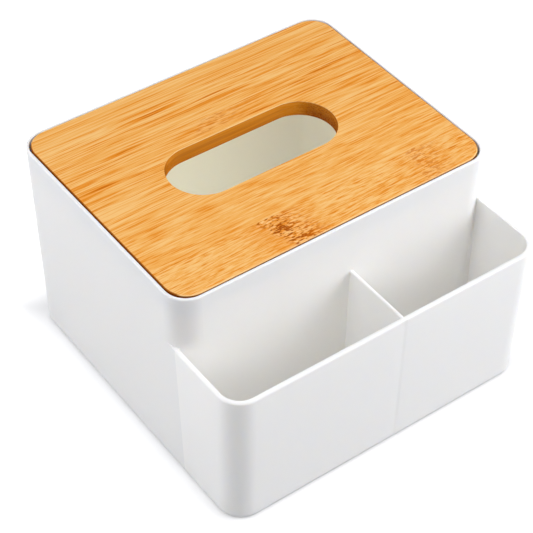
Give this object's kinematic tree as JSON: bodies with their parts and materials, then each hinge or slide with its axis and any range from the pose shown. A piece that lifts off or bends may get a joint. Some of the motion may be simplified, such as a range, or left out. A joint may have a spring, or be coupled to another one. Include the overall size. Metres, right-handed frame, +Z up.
{
  "type": "napkin holder organizer",
  "caption": "White moulded napkin box with a loose bamboo lid that has an obround slot, and open pockets along its front, parted by a thin divider, for small things.",
  "frame": {"origin": "under the middle of the object, on the surface that it stands on", "axes": "+Z up, front with the pockets towards -Y, +X to the right seen from the front"},
  "size_m": [0.16, 0.1576, 0.1003],
  "materials": {
    "white_plastic": "satin moulded",
    "bamboo": "sanded, clear satin lacquer",
    "soft_pad": "matt"
  },
  "bodies": {
    "holder": {"body_moulding": "white_plastic", "foot_pad_front_left": "soft_pad", "foot_pad_front_right": "soft_pad", "foot_pad_back_left": "soft_pad", "foot_pad_back_right": "soft_pad"},
    "lid": {"lid_strip_front": "bamboo", "lid_strip_second": "bamboo", "lid_strip_third": "bamboo", "lid_strip_fourth": "bamboo", "lid_strip_fifth": "bamboo", "lid_strip_back": "bamboo"}
  },
  "joints": [
    {"name": "lid_lift", "type": "slide", "parent": "holder", "child": "lid", "axis": [0, 0, 1], "range_m": [0, 0.06]}
  ]
}
